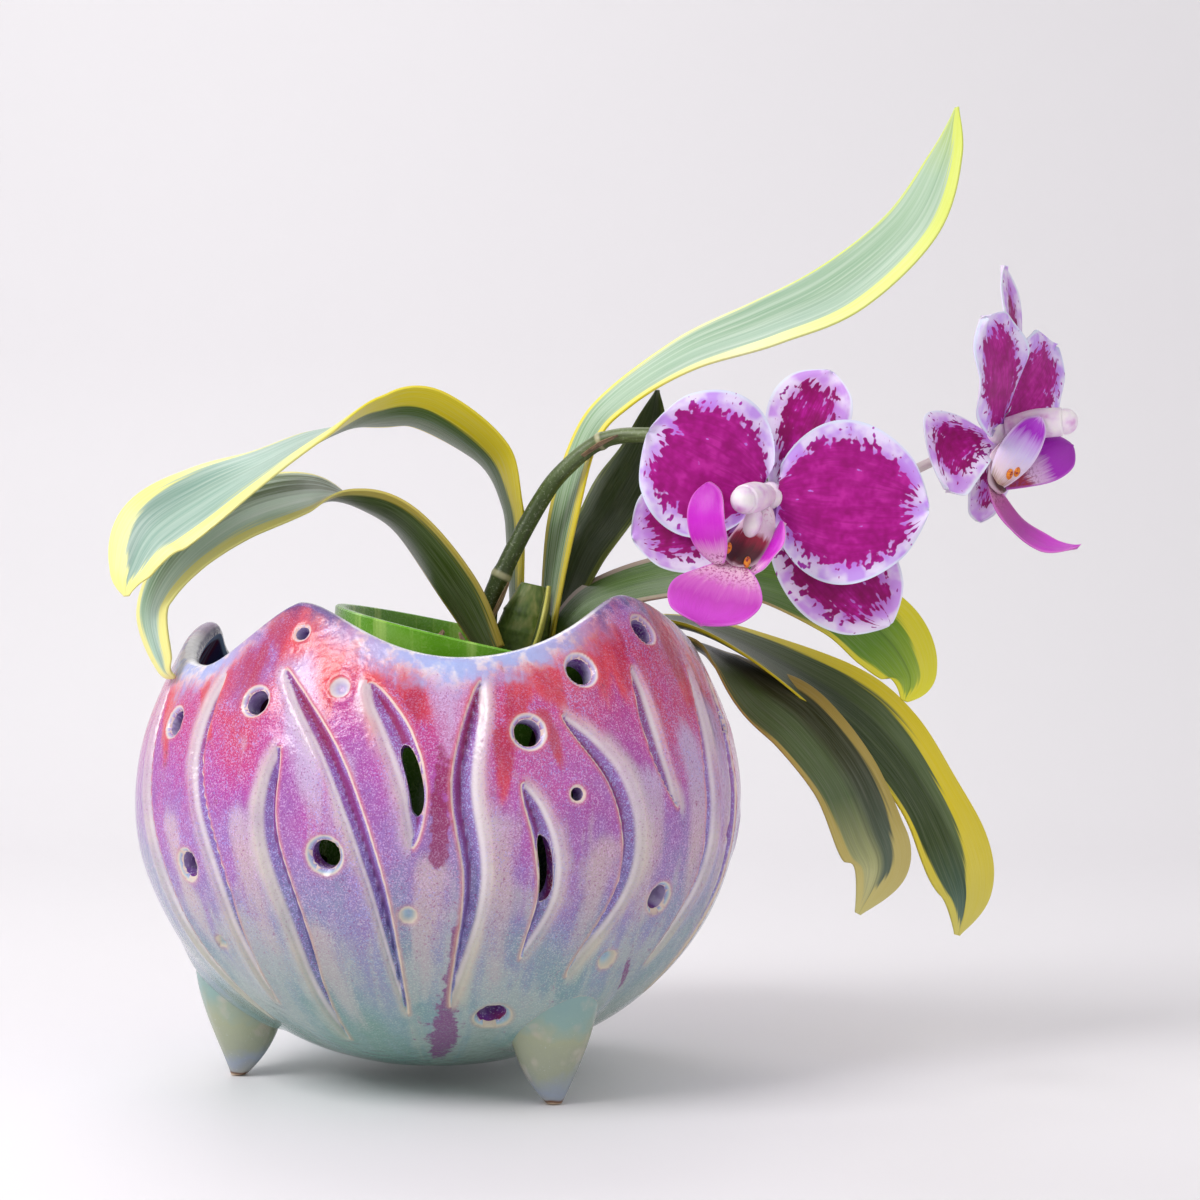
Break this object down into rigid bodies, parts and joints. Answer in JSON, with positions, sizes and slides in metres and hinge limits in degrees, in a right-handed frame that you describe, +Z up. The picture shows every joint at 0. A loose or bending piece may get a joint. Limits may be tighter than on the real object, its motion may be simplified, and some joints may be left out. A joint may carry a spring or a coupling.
{
  "type": "orchid pot",
  "caption": "Round glazed stoneware orchid pot on pointed feet, with a waved rim, air holes and carved flutes, holding a slotted nursery pot with a moth orchid that lifts out.",
  "frame": {"origin": "centre of the flat underside of the ceramic bowl, 5.2 mm above the table", "axes": "+Z up, +Y to the back, +X to the right as seen from the front"},
  "size_m": [0.2339, 0.1499, 0.2436],
  "materials": {
    "glazed_stoneware": "layered running glaze over carved stoneware, gloss",
    "nursery_plastic": "moulded green, satin",
    "bark": "rough fir bark",
    "stem_tissue": "waxy green",
    "leaf_tissue": "variegated green and cream, waxy",
    "dried_tissue": "dry, papery",
    "column_tissue": "waxy, pale pink",
    "lip_tissue": "waxy, magenta",
    "petal_tissue": "velvety, magenta speckled on pale lilac"
  },
  "bodies": {
    "pot": {"ceramic_pot": "glazed_stoneware"},
    "plant": {"nursery_pot": "nursery_plastic", "bark_medium": "bark", "bark_chip_1": "bark", "bark_chip_2": "bark", "bark_chip_3": "bark", "bark_chip_4": "bark", "bark_chip_5": "bark", "crown_stem": "stem_tissue", "flower_spike": "stem_tissue", "leaf_left_lower": "leaf_tissue", "leaf_left_upper": "leaf_tissue", "leaf_right_tall": "leaf_tissue", "leaf_right_back": "leaf_tissue", "leaf_right_middle": "leaf_tissue", "leaf_right_outer": "leaf_tissue", "leaf_right_front": "leaf_tissue", "leaf_base_front": "leaf_tissue", "dried_sheath_1": "dried_tissue", "dried_sheath_2": "dried_tissue", "spike_bract_lower": "dried_tissue", "spike_bract_upper": "dried_tissue", "first_pedicel": "stem_tissue", "first_column": "column_tissue", "first_anther_cap": "column_tissue", "first_lip": "lip_tissue", "first_petal_left": "petal_tissue", "first_petal_right": "petal_tissue", "first_dorsal_sepal": "petal_tissue", "first_lateral_sepal_left": "petal_tissue", "first_lateral_sepal_right": "petal_tissue", "second_pedicel": "stem_tissue", "second_column": "column_tissue", "second_anther_cap": "column_tissue", "second_lip": "lip_tissue", "second_petal_left": "petal_tissue", "second_petal_right": "petal_tissue", "second_dorsal_sepal": "petal_tissue", "second_lateral_sepal_left": "petal_tissue", "second_lateral_sepal_right": "petal_tissue"}
  },
  "joints": [
    {"name": "lift_out", "type": "slide", "parent": "pot", "child": "plant", "axis": [0, 0, 1], "range_m": [0, 0.115]}
  ]
}
